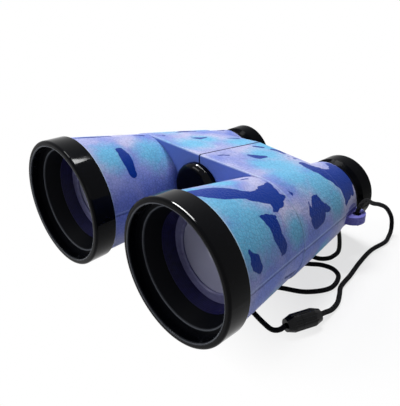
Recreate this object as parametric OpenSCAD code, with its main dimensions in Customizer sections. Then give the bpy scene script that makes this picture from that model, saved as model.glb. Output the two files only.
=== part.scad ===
// Toy binoculars: two moulded halves on a centre hinge, with lenses, eyecups and a neck cord.
// Millimetres. X runs across, with the right half at +X. Y runs from the objectives to the eyecups. Z is up.
// The origin is on the standing surface, under the middle of the body.

/* [Overall] */
// Length from the front rims to the eyecups
overall_len = 111; // [106:0.5:120]
// Gap between the two objective rings
ring_gap = 19; // [17:0.5:26]
// Distance between the eyecup axes
eye_spacing = 61.5; // [58:0.5:66]
// Drop of the eyecup axes below the objective axes
eye_drop = 5; // [3:0.5:7]

/* [Objective rings] */
// Outer diameter of an objective ring
ring_d = 56; // [53:0.5:59]
// Length of the ring's outer band
ring_len = 10; // [8:0.5:13]
// Amount by which the ring narrows towards the body
ring_taper = 0.3; // [0:0.1:0.8]
// Width of the rim around the mouth
rim_w = 2.6; // [2:0.1:3.5]
// Depth of the ledge inside the mouth
ledge_depth = 5.2; // [4:0.1:6.5]
// Width of the ledge
ledge_w = 2.6; // [1.5:0.1:3]
// Overhang of the ring beyond the barrel behind it
ring_lip = 1.4; // [1:0.1:2]
// Length of the sleeve inside the barrel
sleeve_len = 5; // [4:0.5:7]
// Wall of the sleeve
sleeve_wall = 2.5; // [1.9:0.1:2.9]
// Depth of the sleeve's seat in the shell's wall
seat_step = 0.3; // [0.2:0.1:0.6]

/* [Front lenses] */
// Depth of the lens cell's front edge behind the rim
cell_depth = 12; // [11:0.5:14]
// Length of the funnel in front of the lens
funnel_len = 5.5; // [4:0.5:7]
// Wall of the lens cell round the lens
cell_wall = 3.2; // [2.6:0.1:3.6]
// Flare of the funnel
funnel_flare = 1.4; // [0.5:0.1:2]
// Step in the cell's outside behind the sleeve
cell_step = 1.2; // [0.8:0.1:1.6]
// Thickness of the lens at its edge
lens_edge = 3; // [2:0.25:4]
// Rise of the lens in the middle
lens_crown = 0.9; // [0.5:0.1:1.2]
// Thickness of the ring that keeps the lens in
retainer_t = 1.5; // [1:0.1:2]
// Width of that ring
retainer_w = 3.8; // [3:0.1:4.4]
// Rear lip of the lens cell
cell_lip = 1.6; // [1:0.1:2.2]

/* [Shells] */
// Wall of the shells
wall = 2.2; // [1.8:0.1:2.6]
// Step from the eyecup's neck out to the body's rear edge
collar_step = 1.2; // [0.8:0.1:1.8]
// Rounding of the body's rear edge
collar_round = 1.4; // [0.8:0.1:2]
// Gap at the parting line between the upper and lower shells
parting_gap = 0.15; // [0.1:0.05:0.25]

/* [Bridge] */
// Distance of the bridge's rear face from the body's rear edge
bridge_back = 12; // [10:0.5:15]
// Length of the bridge
bridge_len = 39.5; // [36:0.5:42]
// Height of the seam above the objective axes, at the front
top_rise_front = 20.2; // [18.5:0.1:22]
// Height of the seam above the objective axes, at the rear
top_rise_rear = 15.8; // [14.5:0.1:17]
// Step from the front barrel up to the housing
housing_step = 0.7; // [0.4:0.1:1]
// Rounding of the housing's front edge
front_round = 0.9; // [0.5:0.1:1.2]
// Rounding of the housing's rear edge
rear_round = 2.4; // [1.5:0.1:3]
// Half width of the heel at the front
heel_w_front = 27; // [24:0.5:28]
// Half width of the heel at the rear
heel_w_rear = 22; // [21:0.5:24]

/* [Hinge] */
// Height of the hinge pin above the objective axes
hinge_rise = 4.3; // [3.6:0.1:5.5]
// Diameter of the hinge pin
pin_d = 5; // [4:0.1:6]
// Diameter of the knuckles
knuckle_d = 13; // [11:0.5:14]
// Fold of the two halves, from the rest pose
fold = 30; // [20:1:32]
// Gap between the halves at the seam
seam_gap = 0.5; // [0.4:0.1:0.8]
// Diameter of the cap on the pin's rear end
pin_cap_d = 9; // [8:0.5:11]
// Thickness of that cap
pin_cap_t = 1.6; // [1.2:0.1:2.4]

/* [Knob] */
// Clearance between the knob and the barrels beside it
knob_clear = 0.75; // [0.5:0.05:2]
// Height of the knob in front of the bridge
knob_h = 4.6; // [4.2:0.1:7]
// Rounding of the knob's shoulder
knob_round = 2.8; // [1.5:0.1:3.2]
// Thickness of the washer behind the knob
washer_t = 1.2; // [0.8:0.1:1.6]
// Diameter of that washer
washer_d = 13; // [11:0.5:16]

/* [Eyepieces] */
// Length of the eyecup behind the body
eyecup_len = 12; // [10.5:0.5:15]
// Flare of the eyecup from its neck to its rim
eyecup_flare = 1.2; // [0.6:0.1:2]
// Diameter of the eyecup's neck
eyecup_neck_d = 28.6; // [28.2:0.1:30]
// Wall of the eyecup at its rim
eyecup_wall = 1.6; // [1.2:0.1:2.4]
// Length of the eyecup's neck
eyecup_neck_len = 2.2; // [1.5:0.1:3]
// Length of the eyepiece tube inside the body
tube_in = 9; // [7:0.5:11]
// Length of the eyepiece tube inside the eyecup
tube_out = 6; // [5:0.5:7.5]
// Wall of the eyepiece tube
tube_wall = 2.6; // [2:0.1:3]
// Thickness of the eye lens at its edge
eye_lens_t = 2.6; // [2:0.1:3.4]

/* [Screws] */
// Diameter of a shell screw's shank
screw_d = 2.6; // [2:0.1:3]
// Diameter of a shell screw's head
screw_head_d = 5; // [4.4:0.1:5.2]
// Height of the head
screw_head_h = 1.8; // [1.4:0.1:2.4]
// Length of the shank
screw_len = 18; // [14:0.5:20]
// Depth of the screw's hole in the heel
screw_sink = 14; // [12:0.5:15]

/* [Strap] */
// Radius of a strap lug
lug_r = 5.6; // [5.2:0.1:6.4]
// Thickness of a strap lug
lug_t = 3.6; // [3:0.1:4.2]
// Thickness of the lug over the knot's seat
lug_web = 1.2; // [0.8:0.1:1.6]
// Wall of the lug round the knot's seat
lug_rim = 0.9; // [0.7:0.1:1.2]
// Drop of the lug's top below the parting line
lug_drop = 1.2; // [0.8:0.1:1.8]
// Diameter of the hole in a strap lug
lug_hole_d = 3.8; // [3.4:0.1:4.2]
// Distance of the lug from the body's rear edge
lug_back = 5.8; // [5.6:0.1:7]
// Diameter of the neck cord
cord_d = 2; // [1.6:0.1:2.4]
// Diameter of a stopper knot
knot_d = 4.6; // [4.4:0.1:5.2]
// Length of the clasp
clasp_len = 14.5; // [12:0.5:18]
// Diameter of the clasp
clasp_d = 7; // [6:0.1:8]

/* [Hidden] */
$fn = 96;
// Overrun of every cut
over = 4;
// Running fit of the pin in its knuckles
pin_fit = 0.05;
// Fit of the pieces that are pushed together
push_fit = 0.1;
// Clearance between pieces that move past each other
run_gap = 0.35;
// Fillets of the small moulded edges
edge = 0.5;
// Sides of the cord's tube
cord_sides = 8;
// Steps in a rounded edge
round_steps = 4;
// Steps round the barrel side of the housing
side_steps = 26;
// Steps along the straight of the housing
loft_steps = 4;
// Knuckles in the hinge, shared in turn by the right and left halves
knuckles = 4;
// Degrees of relief beyond half the fold
fold_spare = 0.4;
// Screws in each half, as shares of the bridge's length
screw_shares = [0.2, 0.78];
// Where the clasp is split, as a share of its length
clasp_split_share = 0.6;
// Ends of the clasp, as a share of its diameter
clasp_end_share = 0.72;
// Tapered stretch at each end of the clasp, as a share of its length
clasp_taper_share = 0.2;
// Grip flutes round the clasp, with their radius and depth
flutes = 10;
flute_r = 0.7;
flute_depth = 0.3;

ring_r = ring_d / 2;
axis_z = ring_r;
objective_spacing = ring_d + ring_gap;
body_rear = overall_len - eyecup_len;
bridge_rear = body_rear - bridge_back;
bridge_front = bridge_rear - bridge_len;
barrel_front_r = ring_r - ring_lip;
neck_r = eyecup_neck_d / 2;
collar_r = neck_r + collar_step;
eyecup_r = neck_r + eyecup_flare;
rim_r = ring_r - rim_w;
ledge_r = rim_r - ledge_w;
sleeve_r = barrel_front_r - wall + seat_step - push_fit;
cell_bore_r = sleeve_r - sleeve_wall;
cell_r = cell_bore_r - push_fit;
lens_bore_r = cell_r - cell_wall;
lens_r = lens_bore_r - push_fit;
funnel_r = lens_bore_r + funnel_flare;
lens_front = cell_depth + funnel_len + retainer_t;
cell_end = lens_front + lens_edge + cell_lip;
hinge_z = axis_z + hinge_rise;
pin_r = pin_d / 2;
knuckle_r = knuckle_d / 2;
knuckle_pitch = bridge_len / knuckles;
relief = fold / 2 + fold_spare;
eye_x = eye_spacing / 2;
eye_z = axis_z - eye_drop;
knob_front = bridge_front - knob_h;
knob_r = barrel_gap(knob_front) - knob_clear;
tube_r = collar_r - wall - push_fit;
tube_bore_r = tube_r - tube_wall;
tube_front = body_rear - tube_in;
tube_rear = body_rear + tube_out;
eye_lens_r = tube_bore_r - push_fit;
cord_r = cord_d / 2;
knot_r = knot_d / 2;
boss_r = screw_head_d / 2 + wall / 2;
screw_x = knuckle_r + run_gap + boss_r + edge;
lug_y = body_rear - lug_back;
lug_x = centre_x(lug_y) + barrel_r(lug_y) + edge;
lug_seat_r = knot_r + run_gap;
lug_hole_x = lug_x + lug_r - lug_rim - lug_seat_r;
lug_top = parting_z(lug_y) - lug_drop;
knot_z = lug_top - lug_web - knot_r - push_fit;
parting_tilt = atan(eye_drop / (body_rear - ring_len));

// Route of the cord from the right lug to the clasp
right_route = [
    [50, 37.4, 18.5], [50, 37.4, 20.4], [50, 38.3, 23.3], [49.9, 40.6, 25.6], [49.6, 44.2, 26],
    [49.1, 47.6, 24.6], [48.5, 51, 22.4], [48, 55, 20.2], [48, 60, 18], [48.5, 66, 14.2], [49.8, 69.6, 8.4],
    [51.2, 68.4, 3.2], [52.6, 64.2, 1.3], [54, 58.5, 1], [53.5, 48, 1], [55.5, 36, 1], [58.5, 24, 1],
    [60.5, 14.5, 1], [63.5, 9, 1], [66, 4, 1], [67, -1, 1], [67.3, -6, 2.4], [67.5, -10, 3.5]];
// Route from the clasp, under the right barrel and behind the eyecups, to the left half
left_route = [
    [62.8, -23.8, 3.5], [61.6, -25.8, 2], [58.8, -26.8, 1.1], [54, -26, 1], [48.5, -24.5, 1], [42.5, -22.5, 1],
    [38.5, -18, 1], [37.5, -12, 1], [40, -7, 1], [44.5, -4, 1], [53, 1, 1], [58.2, 10, 1],
    [56, 19, 1], [51, 22.6, 1], [45.5, 21.8, 1], [41.2, 18.6, 1], [37.6, 16, 1], [33.8, 15.4, 1],
    [30.6, 17.2, 1], [29.5, 20.5, 1], [30.8, 23.8, 1], [34, 25.4, 1], [37.6, 24.6, 1], [41, 25, 1],
    [43.5, 27.2, 1], [44.6, 31, 1], [43, 38, 1], [33.5, 51.5, 1], [25, 59.5, 1], [14, 65.5, 1],
    [1, 68, 1], [-12, 67.2, 1], [-24, 67.6, 1], [-31, 71.8, 1], [-31.6, 78.2, 1], [-26, 82.2, 1],
    [-14, 82.4, 1], [0, 81.4, 1], [10, 83.2, 1], [14.2, 88.6, 1], [11, 94.6, 1], [2, 97, 1],
    [-12, 96.2, 1], [-26, 92.6, 1], [-37, 86, 1], [-44.4, 78.8, 1]];
// Route from there up to the left lug
left_end_route = [
    [-44.9, 78.25, 1], [-48.4, 73.6, 3.2], [-49.8, 69.6, 7.6], [-49.6, 65.4, 13], [-48.8, 59, 17.6],
    [-48.1, 54.4, 20.4], [-48.5, 51, 22.4], [-49.1, 47.6, 24.6], [-49.6, 44.2, 26], [-49.9, 40.6, 25.6],
    [-50, 38.3, 23.3], [-50, 37.4, 20.4], [-50, 37.4, 18.5]];
right_rings = 22;
left_rings = 46;
left_end_rings = 12;

// The body's slanted centre line, by distance behind the rims
function mix(a, b, t) = a + (b - a) * t;
function along(y) = (y - ring_len) / (body_rear - ring_len);
function centre_x(y) = mix(objective_spacing / 2, eye_x, along(y));
function centre_z(y) = axis_z - eye_drop * along(y);
function barrel_r(y) = mix(barrel_front_r, collar_r, along(y));
function parting_z(y) = centre_z(y);
// Distance from the hinge line to the barrels
function barrel_gap(y) = norm([centre_x(y), hinge_z - centre_z(y)]) - barrel_r(y);

// The housing's section, by distance behind the bridge's front face
function bridge_share(y) = (y - bridge_front) / bridge_len;
function seam_z(y) = axis_z + mix(top_rise_front, top_rise_rear, bridge_share(y));
function heel_w(y) = mix(heel_w_front, heel_w_rear, bridge_share(y));
function arc(centre, r, from, to, steps) =
    [for (i = [0:steps]) let (a = mix(from, to, i / steps)) [centre.x + r * cos(a), centre.y + r * sin(a)]];
// Angle at which a line from a point touches a circle, on the side given by turn
function touch_angle(point, centre, r, turn) =
    let (d = point - centre) atan2(d.y, d.x) + turn * acos(r / norm(d));
function housing_section(y, inset) =
    let (centre = [centre_x(y), centre_z(y)],
         r = barrel_r(y) + housing_step - inset,
         seam = [0, seam_z(y) - inset],
         heel = [heel_w(y) - inset, inset],
         top = touch_angle(seam, centre, r, -1),
         bottom = touch_angle(heel, centre, r, 1))
    concat([seam], arc(centre, r, top, bottom, side_steps), [heel, [0, inset]]);
// Places along the housing and their insets, with both ends rounded
function housing_stations() = concat(
    [for (i = [0:round_steps]) let (a = 90 * i / round_steps)
        [bridge_front + front_round * (1 - cos(a)), front_round * (1 - sin(a))]],
    [for (i = [1:loft_steps - 1]) [bridge_front + bridge_len * i / loft_steps, 0]],
    [for (i = [0:round_steps]) let (a = 90 * i / round_steps)
        [bridge_rear - rear_round * (1 - sin(a)), rear_round * (1 - cos(a))]]);

// A solid through sections that have the same number of points
module loft(sections) {
    n = len(sections[0]);
    last = len(sections) - 1;
    points = [for (s = sections) each s];
    sides = [for (k = [0:last - 1], i = [0:n - 1])
        let (a = k * n + i, b = k * n + (i + 1) % n)
        each [[a, a + n, b], [b, a + n, b + n]]];
    polyhedron(points, concat([[for (i = [0:n - 1]) i]], sides, [[for (i = [n - 1:-1:0]) last * n + i]]));
}

// A tube along a smooth line through the route's points
function unit(v) = v / norm(v);
function spline_at(route, u) =
    let (last = len(route) - 1,
         i = min(floor(u), last - 1),
         t = u - i,
         a = route[max(i - 1, 0)], b = route[i], c = route[i + 1], d = route[min(i + 2, last)])
    (2 * b + (c - a) * t + (2 * a - 5 * b + 4 * c - d) * t * t + (3 * b - a - 3 * c + d) * t * t * t) / 2;
function tube_line(route, rings) = [for (i = [0:rings]) spline_at(route, (len(route) - 1) * i / rings)];
function tube_ways(line) = [for (i = [0:len(line) - 1])
    unit(line[min(i + 1, len(line) - 1)] - line[max(i - 1, 0)])];
function carried(v, way) = unit(v - way * (v * way));
function tube_sections(line) =
    let (ways = tube_ways(line),
         sides = [for (i = 0, v = carried([0.3, 1, 0.2], ways[0]); i < len(line);
             i = i + 1, v = i < len(line) ? carried(v, ways[i]) : v) v])
    [for (i = [0:len(line) - 1]) let (up = cross(ways[i], sides[i]))
        [for (k = [0:cord_sides - 1]) let (a = 360 * k / cord_sides)
            line[i] + cord_r * (cos(a) * sides[i] + sin(a) * up)]];
module cord(route, rings) {
    color("#101012") loft(tube_sections(tube_line(route, rings)));
}

// From distances behind the rims to the part's frame, on the right half or mirrored to the left
module placed(side = 1) {
    translate([0, -overall_len / 2, 0]) mirror([side < 0 ? 1 : 0, 0, 0]) children();
}

// A profile of radius and distance behind the rims, turned about a line along Y
module turned(x, z) {
    translate([x, 0, z]) rotate([-90, 0, 0]) rotate_extrude() children();
}

// A cylinder along Y
module rod(x, z, from, to, r) {
    translate([x, from, z]) rotate([-90, 0, 0]) cylinder(r = r, h = to - from);
}

// An outline of X and Z, drawn out along Y
module drawn(from, to) {
    translate([0, to, 0]) rotate([90, 0, 0]) linear_extrude(to - from) children();
}

// The tapered barrel about its slanted centre line, with a wall taken off
module barrel_cone(from, to, off) {
    a = [centre_x(from), from, centre_z(from)];
    b = [centre_x(to), to, centre_z(to)];
    d = b - a;
    translate(a) rotate([0, acos(d.z / norm(d)), atan2(d.y, d.x)])
        cylinder(h = norm(d), r1 = barrel_r(from) - off, r2 = barrel_r(to) - off);
}

// Everything between two distances behind the rims
module slab(from, to) {
    translate([-objective_spacing, from, -over])
        cube([2 * objective_spacing, to - from, ring_d + 2 * over]);
}

// Outer form of one half
module half_form() {
    intersection() {
        barrel_cone(ring_len - over, body_rear + over, 0);
        slab(ring_len, body_rear - collar_round);
    }
    turned(eye_x, eye_z) polygon(concat(
        [[0, body_rear - 2 * collar_round], [collar_r, body_rear - 2 * collar_round]],
        arc([collar_r - collar_round, body_rear - collar_round], collar_round, 0, 90, round_steps),
        [[0, body_rear]]));
    loft([for (s = housing_stations()) [for (p = housing_section(s[0], s[1])) [p.x, s[0], p.y]]]);
}

// Lug for the neck cord, on the lower shell
module lug() {
    translate([lug_x, lug_y, lug_top - lug_t]) cylinder(r = lug_r, h = lug_t);
}

// Inside of one half: the bore of the barrel, the seats at both ends and the hollow of the bridge
module half_hollow() {
    barrel_cone(ring_len - over, tube_front, wall);
    rod(objective_spacing / 2, axis_z, ring_len - over, ring_len + sleeve_len + push_fit, sleeve_r + push_fit);
    rod(eye_x, eye_z, tube_front - over, body_rear + over, tube_r + push_fit);
    difference() {
        bridge_pocket();
        for (s = screw_shares)
            translate([screw_x, bridge_front + bridge_len * s, 0]) cylinder(r = boss_r, h = ring_d);
    }
}

// Hollow beside the hinge, open to the barrel
module bridge_pocket() {
    front = bridge_front + wall;
    rear = bridge_rear - rear_round - wall;
    inner = knuckle_r + run_gap + wall / 2;
    outer = heel_w_rear - wall;
    low_inner = inner + hinge_z * tan(relief) / 2;
    mid = parting_z(bridge_front);
    fall = seam_z(bridge_rear) - centre_z(bridge_rear) - barrel_r(bridge_rear);
    drop = fall * outer / centre_x(bridge_rear);
    translate([inner, 0, 0]) rotate([90, 0, 90]) linear_extrude(outer - inner) polygon([
        [front, mid - over], [rear, mid - over],
        [rear, seam_z(rear) - wall - drop], [front, seam_z(front) - wall]]);
    translate([low_inner, front, wall]) cube([outer - low_inner, rear - front, mid - wall]);
}

// Space between the halves: the seam above the pin, and the relief for the fold below it
module fold_relief() {
    half = seam_gap / 2;
    drawn(bridge_front - over, bridge_rear + over) polygon([
        [-over, -over], [half + (hinge_z + over) * tan(relief), -over], [half, hinge_z],
        [half, ring_d], [-over, ring_d]]);
}

// Knuckles of one half, grown for the recess that they run in
module knuckle_row(first, grow) {
    for (i = [first:2:knuckles - 1])
        rod(0, hinge_z, bridge_front + i * knuckle_pitch + run_gap / 2 - grow,
            bridge_front + (i + 1) * knuckle_pitch - run_gap / 2 + grow, knuckle_r + grow);
}

// Above or below the parting plane
module above_parting(up) {
    size = 2 * overall_len;
    translate([0, ring_len, axis_z - (up ? 0 : parting_gap)]) rotate([-parting_tilt, 0, 0])
        translate([-size / 2, -size / 2, up ? 0 : -size]) cube(size);
}

module upper_shell(side, first) {
    color("#8fa8dc") placed(side) difference() {
        union() {
            difference() {
                intersection() {
                    half_form();
                    above_parting(true);
                }
                half_hollow();
                fold_relief();
                knuckle_row(1 - first, run_gap);
            }
            knuckle_row(first, 0);
        }
        rod(0, hinge_z, bridge_front - over, bridge_rear + over, pin_r + pin_fit);
        for (s = screw_shares) translate([screw_x, bridge_front + bridge_len * s, 0])
            cylinder(d = screw_d + 2 * push_fit, h = screw_sink + screw_len + edge);
    }
}

module lower_shell(side) {
    color("#7f90cc") placed(side) difference() {
        intersection() {
            union() {
                half_form();
                lug();
            }
            above_parting(false);
        }
        half_hollow();
        fold_relief();
        knuckle_row(0, run_gap);
        knuckle_row(1, run_gap);
        translate([lug_hole_x, lug_y, 0]) {
            cylinder(d = lug_hole_d, h = ring_d);
            cylinder(r = lug_seat_r, h = lug_top - lug_web);
        }
        for (s = screw_shares) translate([screw_x, bridge_front + bridge_len * s, 0]) {
            translate([0, 0, -over]) cylinder(d = screw_head_d + 2 * push_fit, h = screw_sink + over);
            cylinder(d = screw_d + 2 * push_fit, h = ring_d);
        }
    }
}

module objective_ring(side) {
    outer = 2 * edge;
    end = ring_len + sleeve_len;
    back_r = ring_r - ring_taper;
    color("#0c0c0e") placed(side) turned(objective_spacing / 2, axis_z) polygon(concat(
        arc([rim_r + edge, edge], edge, 180, 270, round_steps),
        arc([ring_r - outer, outer], outer, 270, 360, round_steps),
        arc([back_r - edge, ring_len - edge], edge, 0, 90, round_steps),
        [[sleeve_r, ring_len], [sleeve_r, end], [cell_bore_r, end], [cell_bore_r, cell_depth],
         [funnel_r, cell_depth]],
        arc([ledge_r + edge, ledge_depth + edge], edge, 180, 270, round_steps),
        [[rim_r - edge, ledge_depth]]));
}

module lens_cell(side) {
    seat = lens_front + lens_edge;
    sleeve_end = ring_len + sleeve_len;
    rear_r = cell_r - cell_step;
    color("#3a3568") placed(side) turned(objective_spacing / 2, axis_z) polygon([
        [cell_r, cell_depth + push_fit], [cell_r, sleeve_end], [rear_r, sleeve_end + cell_step],
        [rear_r, cell_end], [lens_bore_r - cell_lip, cell_end],
        [lens_bore_r - cell_lip, seat + push_fit], [lens_bore_r, seat + push_fit],
        [lens_bore_r, cell_depth + funnel_len], [funnel_r, cell_depth + push_fit]]);
}

module objective_lens(side) {
    ball = (lens_r * lens_r + lens_crown * lens_crown) / (2 * lens_crown);
    half = asin(lens_r / ball);
    color("#9aa6c4", 0.6) placed(side) turned(objective_spacing / 2, axis_z) polygon(concat(
        arc([0, lens_front + ball - lens_crown], ball, 270, 270 + half, 2 * round_steps),
        [[lens_r, lens_front + lens_edge], [0, lens_front + lens_edge]]));
}

module lens_retainer(side) {
    front = cell_depth + funnel_len;
    inner = lens_bore_r - retainer_w;
    rear = lens_front - push_fit;
    lens_rise = lens_crown * (1 - pow(inner / lens_r, 2));
    color("#26233f") placed(side) turned(objective_spacing / 2, axis_z) polygon([
        [inner + edge, front], [lens_r, front], [lens_r, rear],
        [inner, rear - lens_rise], [inner, front + edge]]);
}

module eyepiece_tube(side) {
    seat = body_rear + eyecup_neck_len / 2;
    stop_r = tube_bore_r - tube_wall / 2;
    color("#141416") placed(side) turned(eye_x, eye_z) polygon([
        [tube_bore_r, tube_front], [tube_r, tube_front], [tube_r, tube_rear], [tube_bore_r, tube_rear],
        [tube_bore_r, seat], [stop_r, seat], [stop_r, seat - tube_wall / 2],
        [tube_bore_r, seat - tube_wall / 2]]);
}

module eye_lens(side) {
    seat = body_rear + eyecup_neck_len / 2 + push_fit;
    dish = eye_lens_t / 2;
    ball = (eye_lens_r * eye_lens_r + dish * dish) / (2 * dish);
    half = asin(eye_lens_r / ball);
    color("#9aa6c4", 0.6) placed(side) turned(eye_x, eye_z) polygon(concat(
        [[0, seat], [eye_lens_r, seat]],
        arc([0, seat + eye_lens_t + ball - dish], ball, 270 + half, 270, 2 * round_steps)));
}

module eyecup(side) {
    front = body_rear + push_fit;
    flare = body_rear + 2 * eyecup_neck_len;
    bore = tube_r + push_fit;
    mouth = eyecup_r - eyecup_wall;
    lip = eyecup_wall / 2;
    color("#111113") placed(side) turned(eye_x, eye_z) polygon(concat(
        [[bore, front], [neck_r, front], [neck_r, body_rear + eyecup_neck_len], [eyecup_r, flare]],
        arc([eyecup_r - lip, overall_len - lip], lip, 0, 180, 2 * round_steps),
        [[mouth, overall_len - 2 * lip], [tube_bore_r, tube_rear + push_fit], [bore, tube_rear + push_fit]]));
}

module shell_screws(side) {
    color("silver") placed(side) for (s = screw_shares)
        translate([screw_x, bridge_front + bridge_len * s, screw_sink]) {
            translate([0, 0, -screw_head_h]) cylinder(d = screw_head_d, h = screw_head_h);
            cylinder(d = screw_d, h = screw_len);
        }
}

// The pin runs from inside the knob to the cap behind the bridge
module hinge_pin() {
    color("silver") placed() rod(0, hinge_z, knob_front + knob_round / 2 + push_fit,
        bridge_rear + run_gap + pin_cap_t, pin_r);
}

module pin_retainer() {
    front = bridge_rear + run_gap;
    color("#1c1c1e") placed() turned(0, hinge_z) polygon([
        [pin_r, front], [pin_cap_d / 2, front], [pin_cap_d / 2, front + pin_cap_t - edge],
        [pin_cap_d / 2 - edge, front + pin_cap_t], [pin_r, front + pin_cap_t]]);
}

module focus_knob() {
    back = bridge_front - run_gap;
    bore = pin_r + pin_fit;
    pocket = washer_d / 2 + push_fit;
    pocket_front = bridge_front - washer_t - run_gap;
    color("#0a0a0c") placed() turned(0, hinge_z) polygon(concat(
        [[0, knob_front], [knob_r - knob_round - edge, knob_front + edge / 2]],
        arc([knob_r - knob_round, knob_front + knob_round + edge / 2], knob_round, 270, 360, 2 * round_steps),
        [[knob_r, back], [pocket, back], [pocket, pocket_front], [bore, pocket_front],
         [bore, knob_front + knob_round / 2], [0, knob_front + knob_round / 2]]));
}

module knob_washer() {
    back = bridge_front - push_fit;
    color("silver") placed() difference() {
        rod(0, hinge_z, back - washer_t, back, washer_d / 2);
        rod(0, hinge_z, back - washer_t - over, back + over, pin_r + pin_fit);
    }
}

// The clasp lies on the standing surface, between the ends of the two cord routes
clasp_from = right_route[len(right_route) - 1];
clasp_to = left_route[0];
module clasp_frame() {
    d = clasp_to - clasp_from;
    mid = (clasp_to + clasp_from) / 2;
    translate([mid.x, mid.y, clasp_d / 2]) rotate([0, 0, atan2(d.y, d.x)]) rotate([0, 90, 0])
        translate([0, 0, -clasp_len / 2]) children();
}
function clasp_outline() = let (end = clasp_len * clasp_taper_share, tip = clasp_d / 2 * clasp_end_share) [
    [0, 0], [tip, 0], [clasp_d / 2, end], [clasp_d / 2, clasp_len - end], [tip, clasp_len], [0, clasp_len]];
module clasp_body() {
    difference() {
        rotate_extrude() polygon(clasp_outline());
        for (i = [0:flutes - 1]) rotate([0, 0, 360 * i / flutes])
            translate([clasp_d / 2 + flute_r - flute_depth, 0, -over])
                cylinder(r = flute_r, h = clasp_len + 2 * over);
    }
}
module clasp_socket() {
    color("#131315") clasp_frame() intersection() {
        clasp_body();
        cylinder(d = 2 * clasp_d, h = clasp_len * clasp_split_share - push_fit);
    }
}
module clasp_plug() {
    color("#131315") clasp_frame() intersection() {
        clasp_body();
        translate([0, 0, clasp_len * clasp_split_share]) cylinder(d = 2 * clasp_d, h = clasp_len);
    }
}

module knot(side) {
    color("#101012") placed(side) translate([lug_hole_x, lug_y, knot_z]) sphere(r = knot_r);
}

upper_shell(1, 0);  // right_upper_shell
upper_shell(-1, 1);  // left_upper_shell
lower_shell(1);  // right_lower_shell
lower_shell(-1);  // left_lower_shell
objective_ring(1);  // right_objective_ring
objective_ring(-1);  // left_objective_ring
lens_cell(1);  // right_lens_cell
lens_cell(-1);  // left_lens_cell
objective_lens(1);  // right_objective_lens
objective_lens(-1);  // left_objective_lens
lens_retainer(1);  // right_lens_retainer
lens_retainer(-1);  // left_lens_retainer
eyepiece_tube(1);  // right_eyepiece_tube
eyepiece_tube(-1);  // left_eyepiece_tube
eye_lens(1);  // right_eye_lens
eye_lens(-1);  // left_eye_lens
eyecup(1);  // right_eyecup
eyecup(-1);  // left_eyecup
shell_screws(1);  // right_shell_screws
shell_screws(-1);  // left_shell_screws
hinge_pin();
pin_retainer();
focus_knob();
knob_washer();
clasp_socket();
clasp_plug();
cord(right_route, right_rings);  // right_cord
cord(left_route, left_rings);  // left_cord
cord(left_end_route, left_end_rings);  // left_cord_end
knot(1);  // right_knot
knot(-1);  // left_knot
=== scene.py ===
"""Looks of the toy binoculars: a camouflage print, gloss black rings, coated lenses and a braided cord."""

import logging
import math
from dataclasses import dataclass
from enum import Enum
from typing import Optional, Sequence, Union

import bmesh  # noqa: E402
import bpy  # noqa: E402
from mathutils import Matrix, Vector  # noqa: E402


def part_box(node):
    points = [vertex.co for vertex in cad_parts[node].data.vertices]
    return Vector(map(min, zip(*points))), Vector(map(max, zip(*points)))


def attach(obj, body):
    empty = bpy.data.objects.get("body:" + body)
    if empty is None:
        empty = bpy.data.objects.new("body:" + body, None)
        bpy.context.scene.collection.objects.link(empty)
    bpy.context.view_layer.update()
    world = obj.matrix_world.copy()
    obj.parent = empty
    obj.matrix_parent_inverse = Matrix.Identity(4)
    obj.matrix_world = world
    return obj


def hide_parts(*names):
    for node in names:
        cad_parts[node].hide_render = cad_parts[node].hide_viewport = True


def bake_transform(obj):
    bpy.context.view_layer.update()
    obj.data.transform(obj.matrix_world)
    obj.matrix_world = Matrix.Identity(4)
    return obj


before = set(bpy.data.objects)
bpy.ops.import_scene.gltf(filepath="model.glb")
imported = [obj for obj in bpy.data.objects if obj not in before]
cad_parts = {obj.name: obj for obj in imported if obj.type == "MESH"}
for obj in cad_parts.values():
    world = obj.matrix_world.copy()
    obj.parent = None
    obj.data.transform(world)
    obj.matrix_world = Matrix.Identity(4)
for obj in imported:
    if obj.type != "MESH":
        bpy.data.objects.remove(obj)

LOG = logging.getLogger("binoculars")
MM = 0.001
Point = tuple[float, float, float]
Colour = tuple[float, float, float, float]
WHITE: Colour = (1.0, 1.0, 1.0, 1.0)
NOISE_MIDDLE = 0.5
TUBE_SIDE: Point = (0.3, 1.0, 0.2)


class Side(Enum):
    """The two halves of the body, by the sign of X."""

    RIGHT = 1
    LEFT = -1

    @property
    def prefix(self) -> str:
        """Start of the names of this half's nodes."""
        return "right" if self is Side.RIGHT else "left"

    @property
    def body(self) -> str:
        """Name of the body that this half is."""
        return f"{self.prefix}_half"


def tint(red: int, green: int, blue: int) -> Colour:
    """A display colour as a linear one.

    Args:
        red: red from 0 to 255.
        green: green from 0 to 255.
        blue: blue from 0 to 255.

    Returns:
        The linear colour.
    """

    def linear(value: int) -> float:
        """One channel made linear."""
        share = value / 255
        return share / 12.92 if share <= 0.04045 else ((share + 0.055) / 1.055) ** 2.4

    return (linear(red), linear(green), linear(blue), 1.0)


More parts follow.
